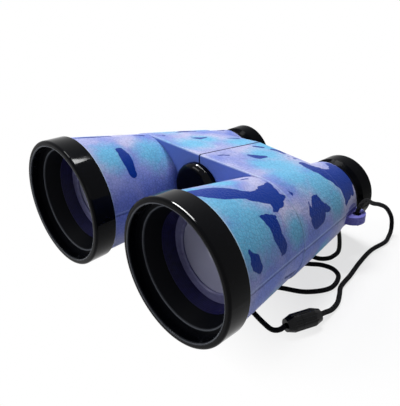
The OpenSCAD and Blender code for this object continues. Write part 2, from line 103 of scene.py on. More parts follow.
class Signal:
    """A value in a shader. Arithmetic on it adds Math nodes."""

    def __init__(self, shader: "Shader", socket: bpy.types.NodeSocket) -> None:
        """Wraps one output socket of a shader."""
        self.shader = shader
        self.socket = socket

    def __add__(self, other: "Number") -> "Signal":
        """Sum."""
        return self.shader.math("ADD", self, other)

    def __radd__(self, other: "Number") -> "Signal":
        """Sum, reflected."""
        return self.shader.math("ADD", other, self)

    def __sub__(self, other: "Number") -> "Signal":
        """Difference."""
        return self.shader.math("SUBTRACT", self, other)

    def __rsub__(self, other: "Number") -> "Signal":
        """Difference, reflected."""
        return self.shader.math("SUBTRACT", other, self)

    def __mul__(self, other: "Number") -> "Signal":
        """Product."""
        return self.shader.math("MULTIPLY", self, other)

    def __truediv__(self, other: "Number") -> "Signal":
        """Quotient."""
        return self.shader.math("DIVIDE", self, other)

    def clamped(self) -> "Signal":
        """This value kept between 0 and 1."""
        return self.shader.math("ADD", self, 0.0, clamp=True)

    def least(self, other: "Number") -> "Signal":
        """The smaller of two values."""
        return self.shader.math("MINIMUM", self, other)

    def most(self, other: "Number") -> "Signal":
        """The larger of two values."""
        return self.shader.math("MAXIMUM", self, other)

    def wave(self) -> "Signal":
        """Sine of this value."""
        return self.shader.math("SINE", self, 0.0)

    def size(self) -> "Signal":
        """This value without its sign."""
        return self.shader.math("ABSOLUTE", self, 0.0)

    def ramp(self, start: float, gain: float) -> "Signal":
        """A ramp from 0 to 1 that begins at a value and rises by the gain for each unit."""
        return ((self - start) * gain).clamped()

    def band(self, middle: float, half: float) -> "Signal":
        """A soft band, 1 where this value is at the middle and 0 a half width away."""
        return (1.0 - (self - middle).size() / half).clamped()


Number = Union[float, Signal]
Value = Union[float, Point, Colour, Signal]
Sockets = dict[Union[int, str], Value]


@dataclass(frozen=True)
class Grain:
    """A noise, by its repeats in a millimetre and its layers of finer noise."""

    scale: float
    detail: float


@dataclass(frozen=True)
class Relief:
    """A bump, by its depth in millimetres and its strength."""

    depth: float
    strength: float


class Shader:
    """The node tree of a material or of the world."""

    def __init__(self, owner: Union[bpy.types.Material, bpy.types.World]) -> None:
        """Empties the tree of its owner.

        Args:
            owner: the material or the world.
        """
        owner.use_nodes = True
        self.owner = owner
        self.tree = owner.node_tree
        self.tree.nodes.clear()

    @classmethod
    def of_material(cls, name: str) -> "Shader":
        """The empty tree of a new material of that name."""
        return cls(bpy.data.materials.new(name))

    def node(self, kind: str, settings: dict[str, object], sockets: Sockets) -> bpy.types.Node:
        """Adds a node.

        Args:
            kind: the node's type, without the ShaderNode that its full name starts with.
            settings: properties of the node, which are set first.
            sockets: values or links of its inputs, by name or number.

        Returns:
            The new node.
        """
        made = self.tree.nodes.new(f"ShaderNode{kind}")
        for key, value in settings.items():
            setattr(made, key, value)
        for key, value in sockets.items():
            if isinstance(value, Signal):
                self.tree.links.new(value.socket, made.inputs[key])
            else:
                made.inputs[key].default_value = value
        return made

    def out(self, made: bpy.types.Node, key: Union[int, str]) -> Signal:
        """One output of a node as a signal."""
        return Signal(self, made.outputs[key])

    def join(self, source: bpy.types.Node, target: bpy.types.Node, key: int = 0) -> None:
        """Links the first output of one node to an input of another."""
        self.tree.links.new(source.outputs[0], target.inputs[key])

    def math(self, operation: str, a: Number, b: Number, clamp: bool = False) -> Signal:
        """A Math node on two values, kept between 0 and 1 where clamp is set."""
        return self.out(self.node("Math", {"operation": operation, "use_clamp": clamp}, {0: a, 1: b}), 0)

    def vector(self, operation: str, a: Value, b: Value) -> Signal:
        """A Vector Math node.

        Args:
            operation: what it does.
            a: the first vector.
            b: the second vector, or the scale.

        Returns:
            The result, a vector or a number.
        """
        key = "Scale" if operation == "SCALE" else 1
        made = self.node("VectorMath", {"operation": operation}, {0: a, key: b})
        return self.out(made, "Value" if operation in ("DOT_PRODUCT", "DISTANCE", "LENGTH") else "Vector")

    def mix(self, share: Number, a: Union[Colour, Signal], b: Union[Colour, Signal]) -> Signal:
        """Colour a changing to colour b as share goes from 0 to 1."""
        made = self.node("Mix", {"data_type": "RGBA"}, {0: share, 6: a, 7: b})
        return self.out(made, 2)

    def grain(self, place: Signal, grain: Grain, key: str = "Fac") -> Signal:
        """Noise from 0 to 1 over a place, by the name of its output."""
        sockets = {"Vector": place, "Scale": grain.scale, "Detail": grain.detail}
        return self.out(self.node("TexNoise", {}, sockets), key)

    def crackle(self, place: Signal, scale: float, line: float) -> Signal:
        """Lines between irregular cells.

        Args:
            place: the place, in millimetres.
            scale: cells in a millimetre.
            line: half width of a line, as a share of a cell.

        Returns:
            1 in the middle of a line and 0 beside it.
        """
        sockets = {"Vector": place, "Scale": scale}
        cells = self.node("TexVoronoi", {"feature": "DISTANCE_TO_EDGE"}, sockets)
        return (1.0 - self.out(cells, "Distance") / line).clamped()

    def parts(self, vector: Signal) -> tuple[Signal, Signal, Signal]:
        """The X, Y and Z of a vector."""
        made = self.node("SeparateXYZ", {}, {0: vector})
        return self.out(made, 0), self.out(made, 1), self.out(made, 2)

    def coordinates(self, kind: str) -> Signal:
        """Texture coordinates of that kind."""
        return self.out(self.node("TexCoord", {}, {}), kind)

    def place(self) -> Signal:
        """The place on the object, in millimetres of the part's frame."""
        return self.vector("SCALE", self.coordinates("Object"), 1 / MM)

    def bump(self, height: Signal, relief: Relief) -> Signal:
        """A surface direction bent by a height that goes from 0 to 1."""
        sockets = {"Strength": relief.strength, "Distance": relief.depth * MM, "Height": height}
        return self.out(self.node("Bump", {}, sockets), "Normal")

    def surface(self, sockets: Sockets) -> bpy.types.Material:
        """The material, ended in a Principled shader with those inputs."""
        self.join(self.node("BsdfPrincipled", {}, sockets), self.node("OutputMaterial", {}, {}))
        return self.owner


class Chart(Enum):
    """How a mark of the print is placed."""

    ROUND = "degrees round the barrel"
    ROOF = "millimetres out from the seam"


@dataclass(frozen=True)
class Barrel:
    """The slanted barrels that the print is laid out on, in millimetres behind the rims."""

    rims: float = 55.5
    front: float = 10.0
    rear: float = 99.0
    front_x: float = 37.5
    rear_x: float = 30.75
    front_z: float = 28.0
    rear_z: float = 23.0
    front_r: float = 26.6
    rear_r: float = 15.5
    roof_front: float = 47.5
    roof_len: float = 39.5
    roof_front_z: float = 48.2
    roof_rear_z: float = 43.8

    def lay(self, chart: Chart, side: Side, back: float, across: float) -> Vector:
        """A point of the print.

        Args:
            chart: how it is placed across.
            side: which half.
            back: distance behind the rims.
            across: degrees from outwards through up to the hinge, or distance from the seam.

        Returns:
            The point in millimetres of the part's frame.
        """
        if chart is Chart.ROOF:
            share = (back - self.roof_front) / self.roof_len
            x = across
            z = self.roof_front_z + (self.roof_rear_z - self.roof_front_z) * share
        else:
            share = (back - self.front) / (self.rear - self.front)
            r = self.front_r + (self.rear_r - self.front_r) * share
            x = self.front_x + (self.rear_x - self.front_x) * share + r * math.cos(math.radians(across))
            z = self.front_z + (self.rear_z - self.front_z) * share + r * math.sin(math.radians(across))
        return Vector((side.value * x, back - self.rims, z))


BARREL = Barrel()


@dataclass(frozen=True)
class Streak:
    """A dark streak of the print.

    Its points hold the distance behind the rims, the place across, and the half width.
    """

    points: tuple[Point, ...]
    chart: Chart = Chart.ROUND

    def stations(self, side: Side) -> list[tuple[Vector, float]]:
        """The streak's points on one half, with their half widths."""
        return [(BARREL.lay(self.chart, side, back, across), half) for back, across, half in self.points]

    def moved(self, behind: float, round_by: float) -> "Streak":
        """The same streak elsewhere, that much further behind the rims and further across."""
        points = tuple((back + behind, across + round_by, half) for back, across, half in self.points)
        return Streak(points, self.chart)


@dataclass(frozen=True)
class Cloud:
    """A soft patch of the print, by distance behind the rims, place across, and radius."""

    back: float
    across: float
    radius: float
    chart: Chart = Chart.ROUND

    def centre(self, side: Side) -> Vector:
        """Middle of the patch on one half."""
        return BARREL.lay(self.chart, side, self.back, self.across)


@dataclass(frozen=True)
class Layout:
    """The marks on one half: dark streaks, sky blue patches, and darker, bluer patches of painted shade on
    the barrels' sides.
    """

    streaks: tuple[Streak, ...]
    clouds: tuple[Cloud, ...]
    painted_side_shade: tuple[Cloud, ...]


COMET = (
    Streak((
        (27.4, 50, 0.5), (30.7, 44, 2.5), (32.3, 39, 3.1),
        (31.8, 29, 2.8), (33.1, 18, 2.6), (31.5, 13.4, 0.8),
    )),
    Streak(((30.4, 45.8, 1.7), (35.3, 44.5, 0.5))),
)
FIN = (
    Streak(((66.3, 46.3, 0.5), (63.5, 36, 3.8), (62.7, 29.1, 5.0), (58, 21.4, 3.1), (56.5, 13.8, 0.6))),
    Streak(((58.2, 41.7, 0.9), (57, 30.4, 1.8))),
    Streak(((66.1, 30.3, 2.8), (72.1, 23.3, 0.5))),
)
FISHTAIL = (
    Streak(((47, 80, 0.6), (42.4, 68.6, 4.2), (40.8, 59.6, 4.2), (38.1, 51.2, 1.8), (36, 48.8, 0.5))),
    Streak(((41.7, 61.5, 3.6), (47.3, 57.6, 0.8))),
)
COLLAR = (
    Streak(((89.5, 51.6, 6), (89.7, 32.6, 4), (86.7, 16.6, 0.8))),
    Streak(((95.5, 86, 1.6), (94, 66, 4.2), (94, 46, 4.4), (94.5, 28, 2))),
)
UNDERSIDE = (
    Streak(((35.7, -15.1, 0.6), (43.8, -23.5, 1.3))),
    Streak(((20, -62, 0.5), (30, -70, 2.6), (39, -58, 1.0))),
    Streak(((66, -55, 0.6), (74, -46, 2.2), (82, -52, 0.6))),
)
CHIP = Streak(((14.2, 29.5, 1.0), (15.7, 20.7, 2.9), (16.8, 15.6, 2.0)))
RIGHT_STREAKS = COMET + FIN + FISHTAIL + COLLAR + UNDERSIDE + (
    CHIP,
    Streak(((13.2, 92, 3.4), (17, 88, 4.4), (20.6, 85, 4.8), (25, 80, 3.8), (29, 74, 2.6))),
    Streak(((29, 74, 2.6), (33, 68, 2.8), (40, 64, 4.6))),
    Streak(((80.8, 116, 0.6), (80.7, 100, 2.4), (80.6, 80, 3), (84.3, 65.5, 4.6), (89.5, 51.6, 6))),
    Streak(((51, 62.6, 0.5), (51.9, 57.1, 0.9))),
    Streak(((39.7, 99.4, 0.5), (43, 98.3, 0.9))),
    Streak(((66.5, 11.4, 1.3), (67.9, 14.3, 2.5), (71.1, 15.7, 1.3)), Chart.ROOF),
    Streak(((54, 5, 0.6), (57.8, 6.8, 0.9)), Chart.ROOF),
    Streak(((77.6, 3.4, 0.8), (80.4, 6, 1.1)), Chart.ROOF),
    Streak(((82.6, 10, 1.2), (84.4, 12.5, 1.6), (84.2, 16, 1.2)), Chart.ROOF),
    Streak(((82.8, 20, 1.2), (83.6, 23, 1.5)), Chart.ROOF),
)
LEFT_STREAKS = (
    Streak(((25, 116, 1.7), (25, 124, 2.5), (24.8, 135, 2.4), (24.4, 145, 1.7))),
    Streak(((12, 84, 0.6), (20, 83, 1.6), (29, 84, 0.7))),
    Streak(((40.5, 87, 0.5), (44.5, 88, 1.0))),
    Streak(((48.5, 96, 0.6), (53, 100, 1.2))),
    Streak(((63, 88, 0.6), (70, 82, 2.2), (76, 88, 0.6))),
    Streak(((63.3, 22, 0.8), (66, 20.4, 1.9), (70.3, 20, 0.8)), Chart.ROOF),
    Streak(((63.3, 26, 0.5), (67, 24.5, 0.7)), Chart.ROOF),
    Streak(((78, 14, 0.5), (82, 11, 1.2)), Chart.ROOF),
    CHIP.moved(34, 2),
) + tuple(
    mark.moved(behind, round_by)
    for marks, behind, round_by in (
        (COMET, -9, 8), (FIN, -31, -22), (FISHTAIL, -22, -14), (FISHTAIL, 22, -42), (COLLAR, -2, -4),
        (COMET, 22, 24), (UNDERSIDE, 6, 4),
    )
    for mark in marks
)
RIGHT_CLOUDS = (
    Cloud(18, 70, 17), Cloud(22, 46, 18), Cloud(14, 38, 14), Cloud(13, 98, 10), Cloud(44, 24, 9),
    Cloud(30, 104, 9), Cloud(64, 82, 16), Cloud(68, 108, 17), Cloud(74, 56, 16), Cloud(78, 30, 11),
    Cloud(30, -40, 11), Cloud(66, -30, 9),
    Cloud(74, 14, 13, Chart.ROOF), Cloud(64, 24, 12, Chart.ROOF), Cloud(84, 6, 10, Chart.ROOF),
)
LEFT_CLOUDS = (
    Cloud(19, 122, 12), Cloud(40, 124, 13), Cloud(22, 52, 16), Cloud(34, 12, 13), Cloud(60, 66, 14),
    Cloud(80, 60, 12), Cloud(72, 20, 12), Cloud(24, -40, 11), Cloud(60, -34, 9),
    Cloud(57, 14, 13, Chart.ROOF), Cloud(67, 18, 11, Chart.ROOF), Cloud(78, 5, 12, Chart.ROOF),
)
# Painted shade: darker, bluer patches on the barrels' sides, where shade falls.
RIGHT_PAINTED_SHADE = (
    Cloud(24, -8, 18), Cloud(46, -4, 18), Cloud(66, 0, 14), Cloud(20, 170, 16), Cloud(40, 170, 18),
)
LEFT_PAINTED_SHADE = (
    Cloud(18, 172, 18), Cloud(32, 166, 18), Cloud(44, 168, 18), Cloud(30, -10, 18), Cloud(60, -6, 14),
)
LAYOUTS = {
    Side.RIGHT: Layout(RIGHT_STREAKS, RIGHT_CLOUDS, RIGHT_PAINTED_SHADE),
    Side.LEFT: Layout(LEFT_STREAKS, LEFT_CLOUDS, LEFT_PAINTED_SHADE),
}


@dataclass(frozen=True)
class EdgeHighlight:
    """A painted highlight along a moulded edge of the shell, where the plastic is also pale and unprinted, by
    its distance behind the rims, half width and strength.
    """

    back: float
    half: float
    share: float


@dataclass(frozen=True)
class CamouflagePrint:
    """Satin print on moulded plastic: lilac ground, soft sky patches, dark streaks and a fine crackle, with
    painted shade on the barrels' sides and in the seams, and painted highlights along the edges.
    """

    lilac: Colour = tint(180, 180, 214)
    periwinkle: Colour = tint(112, 130, 204)
    sky: Colour = tint(98, 180, 216)
    # Colour of the painted shade on the barrels' sides.
    painted_side_shade: Colour = tint(114, 136, 224)
    ink: Colour = tint(6, 47, 134)
    bare: Colour = tint(98, 122, 202)
    lug: Colour = tint(112, 108, 190)
    fleck: Colour = tint(44, 62, 136)
    pale: Colour = tint(204, 222, 244)
    # Colour of the painted highlights along the shell's edges and the parting ridge.
    edge_highlight: Colour = tint(196, 220, 244)
    # Colour of the painted shade in the seam and the parting line.
    gap_shade: Colour = tint(30, 36, 84)
    drift_grain: Grain = Grain(0.06, 2.0)
    drift_start: float = 0.4
    drift_gain: float = 4.0
    mottle_grain: Grain = Grain(0.35, 4.0)
    speckle_grain: Grain = Grain(1.3, 3.0)
    speckle_gain: float = 6.0
    pale_grain: Grain = Grain(2.6, 2.0)
    pale_start: float = 0.52
    wander_grain: Grain = Grain(0.32, 2.0)
    wander_reach: float = 1.6
    crackle_scale: float = 0.62
    crackle_line: float = 0.16
    cloud_edge: float = 1.3
    cloud_gain: float = 1.25
    cloud_loss: float = 0.12
    mottle_reach: float = 0.9
    speckle_reach: float = 0.7
    sky_share: float = 0.92
    painted_side_shade_share: float = 0.8
    fleck_share: float = 0.2
    pale_share: float = 0.2
    crackle_share: float = 0.24
    ink_spread: float = 1.05
    ink_edge: float = 0.125
    ink_gain: float = -4.0
    gap_shade_half: float = 0.45
    seam_gain: float = -6.0
    parting_shade_share: float = 0.42
    ridge_rise: float = 0.9
    ridge_highlight_share: float = 0.42
    edge_highlights: tuple[EdgeHighlight, ...] = (EdgeHighlight(10.3, 0.7, 0.9), EdgeHighlight(48.0, 0.5, 0.3), EdgeHighlight(98.6, 0.6, 0.5))
    lug_radius: float = 6.4
    lug_gain: float = -5.0
    face_reach: float = 30.0
    face_tilt: float = -0.75
    face_gain: float = -8.0
    under_tilt: float = -0.65
    under_gain: float = -4.0
    rough: float = 0.34
    mottle_rough: float = 0.1
    speckle_rough: float = 0.06
    ink_rough: float = 0.06
    crackle_depth: float = 0.4
    relief: Relief = Relief(0.14, 0.9)
    shine: float = 0.04

    def ink_mask(self, shader: Shader, place: Signal, side: Side) -> Signal:
        """Where the dark streaks are.

        Args:
            shader: the tree to add to.
            place: the place on the object, in millimetres.
            side: which half.

        Returns:
            1 in a streak and 0 outside.
        """
        middle = (NOISE_MIDDLE, NOISE_MIDDLE, NOISE_MIDDLE)
        wander = shader.vector("SUBTRACT", shader.grain(place, self.wander_grain, "Color"), middle)
        moved = shader.vector("ADD", place, shader.vector("SCALE", wander, self.wander_reach))
        nearest: Optional[Signal] = None
        for mark in LAYOUTS[side].streaks:
            stations = mark.stations(side)
            for (start, start_half), (end, end_half) in zip(stations, stations[1:]):
                run = end - start
                away = shader.vector("SUBTRACT", moved, tuple(start))
                share = shader.vector("DOT_PRODUCT", away, tuple(run / run.length_squared)).clamped()
                gap = shader.vector("DISTANCE", away, shader.vector("SCALE", tuple(run), share))
                edge = gap - (share * (end_half - start_half) + start_half) * self.ink_spread
                nearest = edge if nearest is None else nearest.least(edge)
        return nearest.ramp(self.ink_edge, self.ink_gain)

    def cloud_mask(self, shader: Shader, place: Signal, side: Side, clouds: Sequence[Cloud]) -> Signal:
        """Where soft patches are.

        Args:
            shader: the tree to add to.
            place: the place on the object, in millimetres.
            side: which half.
            clouds: the patches.

        Returns:
            1 in the middle of a patch and 0 outside.
        """
        most: Optional[Signal] = None
        for cloud in clouds:
            gap = shader.vector("DISTANCE", place, tuple(cloud.centre(side)))
            share = gap.ramp(cloud.radius, -self.cloud_edge / cloud.radius)
            most = share if most is None else most.most(share)
        return most

    def ground(self, shader: Shader, place: Signal, side: Side, mottle: Signal, speckle: Signal) -> Signal:
        """The lilac ground with its soft sky patches and its patches of painted shade.

        Args:
            shader: the tree to add to.
            place: the place on the object, in millimetres.
            side: which half.
            mottle: coarse noise that frays the patches.
            speckle: fine noise that frays them.

        Returns:
            The colour.
        """
        layout = LAYOUTS[side]
        drift = shader.grain(place, self.drift_grain).ramp(self.drift_start, self.drift_gain)
        colour = shader.mix(drift, self.lilac, self.periwinkle)
        # Painted shade: the barrels' sides are darkened toward a bluer tone.
        side_shade_mask = self.cloud_mask(shader, place, side, layout.painted_side_shade)
        colour = shader.mix(side_shade_mask * self.painted_side_shade_share, colour, self.painted_side_shade)
        cloudy = self.cloud_mask(shader, place, side, layout.clouds) * self.cloud_gain
        frayed = (mottle - NOISE_MIDDLE) * self.mottle_reach + (speckle - NOISE_MIDDLE) * self.speckle_reach
        soft = (cloudy + frayed - self.cloud_loss).clamped()
        return shader.mix(soft * self.sky_share, colour, self.sky)

    def plain_mask(self, shader: Shader, across: Signal) -> Signal:
        """Where the plastic isn't printed: the front of the bridge and the underside.

        Args:
            shader: the tree to add to.
            across: distance from the middle plane, in millimetres.

        Returns:
            1 on plain plastic and 0 on the print.
        """
        _, forward, upward = shader.parts(shader.coordinates("Normal"))
        face = forward.ramp(self.face_tilt, self.face_gain) * across.ramp(self.face_reach, -1.0)
        return face.most(upward.ramp(self.under_tilt, self.under_gain))

    def lines(self, shader: Shader, colour: Signal, spot: tuple[Signal, Signal, Signal]) -> Signal:
        """Draws the painted highlights along the shell's edges and above the parting line, and painted shade
        in the parting line and the seam.

        Args:
            shader: the tree to add to.
            colour: the colour under the lines.
            spot: distance from the middle plane, distance behind the rims and height, in millimetres.

        Returns:
            The colour with the lines on it.
        """
        across, back, up = spot
        # Painted highlights: pale lines at the front end, the roof's front edge and the rear end of the
        # shell.
        for edge_highlight in self.edge_highlights:
            colour = shader.mix(back.band(edge_highlight.back, edge_highlight.half) * edge_highlight.share, colour, self.edge_highlight)
        slope = (BARREL.rear_z - BARREL.front_z) / (BARREL.rear - BARREL.front)
        level = up - BARREL.front_z - (back - BARREL.front) * slope
        # Painted highlight along the ridge just above the parting line.
        ridge = level.band(self.ridge_rise, self.gap_shade_half)
        colour = shader.mix(ridge * self.ridge_highlight_share, colour, self.edge_highlight)
        # Painted shade: dark lines in the parting line and in the seam between the halves, where shade falls
        # in the gaps.
        parting = level.band(0.0, self.gap_shade_half) * self.parting_shade_share
        seam = across.ramp(self.gap_shade_half, self.seam_gain)
        return shader.mix(seam.most(parting), colour, self.gap_shade)

    def make(self, side: Side, lug: Point) -> bpy.types.Material:
        """The print of one half.

        Args:
            side: which half.
            lug: middle of the half's strap lug, in millimetres.

        Returns:
            The material.
        """
        shader = Shader.of_material(f"camouflage_{side.prefix}")
        place = shader.place()
        x, y, z = shader.parts(place)
        across = x.size()
        mottle = shader.grain(place, self.mottle_grain)
        speckle = shader.grain(place, self.speckle_grain)
        ink = self.ink_mask(shader, place, side)
        colour = shader.mix(ink, self.ground(shader, place, side, mottle, speckle), self.ink)
        plain = self.plain_mask(shader, across)
        colour = shader.mix(plain, colour, self.bare)
        near_lug = shader.vector("DISTANCE", place, lug).ramp(self.lug_radius, self.lug_gain)
        colour = shader.mix(near_lug, colour, self.lug)
        printed = (1.0 - ink) * (1.0 - plain)
        flecks = speckle.ramp(NOISE_MIDDLE, self.speckle_gain)
        colour = shader.mix(flecks * printed * self.fleck_share, colour, self.fleck)
        fine = shader.grain(place, self.pale_grain).ramp(self.pale_start, self.speckle_gain)
        colour = shader.mix(fine * printed * self.pale_share, colour, self.pale)
        crackle = shader.crackle(place, self.crackle_scale, self.crackle_line)
        colour = shader.mix(crackle * printed * self.crackle_share, colour, self.fleck)
        rough = self.rough + mottle * self.mottle_rough + speckle * self.speckle_rough - ink * self.ink_rough
        return shader.surface({
            "Base Color": self.lines(shader, colour, (across, y + BARREL.rims, z)),
            "Roughness": rough,
            "Normal": shader.bump(speckle - crackle * self.crackle_depth, self.relief),
            "Specular IOR Level": self.shine,
        })


@dataclass(frozen=True)
class MouldedBlack:
    """Black moulded plastic, from gloss to satin, with faint flow marks and handling wear."""

    name: str
    colour: Colour = tint(4, 5, 9)
    worn: Colour = tint(14, 15, 21)
    gloss: float = 0.03
    texture: float = 0.002
    texture_strength: float = 0.4
    shine: float = 0.05
    flow_grain: Grain = Grain(0.12, 3.0)
    flow_rough: float = 0.04
    fine_grain: Grain = Grain(3.2, 2.0)
    fine_rough: float = 0.02
    wear_grain: Grain = Grain(0.5, 5.0)
    wear_start: float = 0.56
    wear_gain: float = 6.0
    wear_share: float = 0.35
    wear_rough: float = 0.06

    def base(self, shader: Shader, place: Signal, wear: Signal) -> Signal:
        """The colour, which is a little grey where the plastic is worn."""
        return shader.mix(wear * self.wear_share, self.colour, self.worn)

    def matt(self, shader: Shader, place: Signal) -> Number:
        """Roughness that is added over the piece, which is none on a plain one."""
        return 0.0

    def make(self) -> bpy.types.Material:
        """The material."""
        shader = Shader.of_material(self.name)
        place = shader.place()
        flow = shader.grain(place, self.flow_grain) * self.flow_rough
        fine = shader.grain(place, self.fine_grain)
        wear = shader.grain(place, self.wear_grain).ramp(self.wear_start, self.wear_gain)
        rough = self.gloss + flow + fine * self.fine_rough + wear * self.wear_rough
        return shader.surface({
            "Base Color": self.base(shader, place, wear),
            "Roughness": rough + self.matt(shader, place),
            "Normal": shader.bump(fine, Relief(self.texture, self.texture_strength)),
            "Specular IOR Level": self.shine,
        })


@dataclass(frozen=True)
class RimHighlight:
    """A painted highlight line on a moulded edge of a ring, by its radius, half width and reach behind the
    rims.
    """

    radius: float
    half: float
    near: float
    far: float


@dataclass(frozen=True)
class RingBlack(MouldedBlack):
    """Gloss black of an objective ring, with painted highlight lines round the mouth and on the ledge inside.
    """

    side: Side = Side.RIGHT
    # Colour of the painted highlight lines.
    rim_highlight: Colour = tint(104, 108, 116)
    rim_highlight_share: float = 0.9
    edges: tuple[RimHighlight, ...] = (
        RimHighlight(25.75, 0.4, -1.0, 1.0),
        RimHighlight(23.1, 0.4, 4.8, 6.4),
    )
    mouth: float = 25.2
    mouth_gain: float = -4.0
    mouth_rough: float = 0.45

    def polar(self, shader: Shader, place: Signal) -> tuple[Signal, Signal]:
        """Where a place is on the ring.

        Args:
            shader: the tree to add to.
            place: the place on the object, in millimetres.

        Returns:
            Distance from the ring's axis, and distance behind its rim.
        """
        middle = (self.side.value * BARREL.front_x, -BARREL.rims, BARREL.front_z)
        offset = shader.vector("SUBTRACT", place, middle)
        _, depth, _ = shader.parts(offset)
        level = shader.vector("MULTIPLY", offset, (1.0, 0.0, 1.0))
        return shader.vector("LENGTH", level, (0.0, 0.0, 0.0)), depth

    def matt(self, shader: Shader, place: Signal) -> Number:
        """Roughness that is added inside the mouth, which is matt."""
        radius, _ = self.polar(shader, place)
        return radius.ramp(self.mouth, self.mouth_gain) * self.mouth_rough

    def base(self, shader: Shader, place: Signal, wear: Signal) -> Signal:
        """Black with the painted highlight lines on it.

        Args:
            shader: the tree to add to.
            place: the place on the object, in millimetres.
            wear: how worn the plastic is.

        Returns:
            The colour.
        """
        radius, depth = self.polar(shader, place)
        colour = super().base(shader, place, wear)
        # Painted highlights: thin pale lines round the mouth's front edge and on the ledge inside.
        for edge in self.edges:
            line = radius.band(edge.radius, edge.half)
            within = shader.math("GREATER_THAN", depth, edge.near) * shader.math("LESS_THAN", depth, edge.far)
            colour = shader.mix(line * within * self.rim_highlight_share, colour, self.rim_highlight)
        return colour


@dataclass(frozen=True)
class VioletCell:
    """Dark violet plastic with the fine turned grooves of a lens cell."""

    name: str = "violet_cell"
    colour: Colour = tint(25, 23, 74)
    deep: Colour = tint(10, 9, 36)
    groove_turn: float = 9.0
    groove_share: float = 0.2
    relief: Relief = Relief(0.05, 0.5)
    mottle_grain: Grain = Grain(0.6, 3.0)
    rough: float = 0.32
    mottle_rough: float = 0.12
    shine: float = 0.2

    def make(self) -> bpy.types.Material:
        """The material."""
        shader = Shader.of_material(self.name)
        place = shader.place()
        _, depth, _ = shader.parts(place)
        grooves = (depth * self.groove_turn).wave()
        mottle = shader.grain(place, self.mottle_grain)
        share = (grooves * self.groove_share + mottle).clamped()
        return shader.surface({
            "Base Color": shader.mix(share, self.deep, self.colour),
            "Roughness": self.rough + mottle * self.mottle_rough,
            "Normal": shader.bump(grooves, self.relief),
            "Specular IOR Level": self.shine,
        })


@dataclass(frozen=True)
class LensGlass:
    """Clear moulded lens with a faint violet coat and a little dust; its pale grey-violet colour is a painted
    reflection.
    """

    name: str
    # Pale grey-violet base colour: painted reflection on the lens, over the faint violet coat.
    colour: Colour = tint(156, 158, 192)
    dust_and_reflection: Colour = tint(182, 183, 208)
    haze_grain: Grain = Grain(0.05, 2.0)
    speck_grain: Grain = Grain(1.8, 2.0)
    speck_start: float = 0.68
    speck_gain: float = 9.0
    speck_share: float = 0.3
    rough: float = 0.05
    speck_rough: float = 0.2
    index: float = 1.49
    clear: float = 0.15
    coat: float = 0.3
    haze_coat: float = 0.2

    def make(self) -> bpy.types.Material:
        """The material."""
        shader = Shader.of_material(self.name)
        place = shader.place()
        haze = shader.grain(place, self.haze_grain)
        specks = shader.grain(place, self.speck_grain).ramp(self.speck_start, self.speck_gain)
        # Painted reflection and dust: the lens is lightened toward the paler colour in broad soft patches.
        colour = shader.mix(haze, self.colour, self.dust_and_reflection)
        return shader.surface({
            "Base Color": shader.mix(specks * self.speck_share, colour, self.dust_and_reflection),
            "Roughness": self.rough + specks * self.speck_rough,
            "IOR": self.index,
            "Transmission Weight": self.clear,
            "Coat Weight": self.coat + haze * self.haze_coat,
        })


@dataclass(frozen=True)
class PlatedSteel:
    """Plated steel with fine turning marks."""

    name: str = "plated_steel"
    colour: Colour = tint(186, 186, 190)
    dull: Colour = tint(128, 126, 124)
    turn_along: float = 22.0
    turn_up: float = 3.0
    relief: Relief = Relief(0.01, 0.3)
    stain_grain: Grain = Grain(0.9, 4.0)
    stain_start: float = 0.45
    stain_gain: float = 3.0
    rough: float = 0.26
    stain_rough: float = 0.16

    def make(self) -> bpy.types.Material:
        """The material."""
        shader = Shader.of_material(self.name)
        place = shader.place()
        _, along, up = shader.parts(place)
        turned = (along * self.turn_along + up * self.turn_up).wave()
        stain = shader.grain(place, self.stain_grain)
        return shader.surface({
            "Base Color": shader.mix(stain.ramp(self.stain_start, self.stain_gain), self.colour, self.dull),
            "Metallic": 1.0,
            "Roughness": self.rough + stain * self.stain_rough,
            "Normal": shader.bump(turned, self.relief),
        })


@dataclass(frozen=True)
class BraidedCord:
    """Black braid: strands that cross on two slants, laid out by the tube's own length and girth."""

    name: str = "braided_cord"
    colour: Colour = tint(5, 5, 7)
    ridge: Colour = tint(20, 20, 24)
    strands: float = 4.0
    pitch: float = 1.1
    braid_share: float = 0.5
    relief: Relief = Relief(0.16, 0.8)
    fuzz_grain: Grain = Grain(4.0, 3.0)
    fuzz_share: float = 0.6
    rough: float = 0.62
    fuzz_rough: float = 0.2
    shine: float = 0.05

    def make(self) -> bpy.types.Material:
        """The material."""
        shader = Shader.of_material(self.name)
        along, round_it, _ = shader.parts(shader.coordinates("UV"))
        length = along * (2 * math.pi / self.pitch)
        girth = round_it * (2 * math.pi * self.strands)
        braid = (length + girth).wave().most((length - girth).wave())
        fuzz = shader.grain(shader.place(), self.fuzz_grain)
        share = (braid * self.braid_share + fuzz * self.fuzz_share).clamped()
        return shader.surface({
            "Base Color": shader.mix(share, self.colour, self.ridge),
            "Roughness": self.rough + fuzz * self.fuzz_rough,
            "Normal": shader.bump(braid, self.relief),
            "Specular IOR Level": self.shine,
        })


def add(name: str, data: bpy.types.ID) -> bpy.types.Object:
    """Puts new data in the scene.

    Args:
        name: the new object's name.
        data: its mesh, lamp or camera.

    Returns:
        The new object.
    """
    made = bpy.data.objects.new(name, data)
    bpy.context.scene.collection.objects.link(made)
    return made


def add_mesh(name: str, mesh: bmesh.types.BMesh) -> bpy.types.Object:
    """Puts an edited mesh in the scene and lets go of it.

    Args:
        name: the new object's name.
        mesh: the edited mesh.

    Returns:
        The new object.
    """
    data = bpy.data.meshes.new(name)
    mesh.to_mesh(data)
    mesh.free()
    return add(name, data)


def dress(names: Sequence[str], material: bpy.types.Material) -> None:
    """Gives CAD nodes a finish.

    Args:
        names: the nodes.
        material: their finish.
    """
    for name in names:
        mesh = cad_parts[name].data
        mesh.materials.clear()
        mesh.materials.append(material)
        LOG.info("dressed %s in %s", name, material.name)


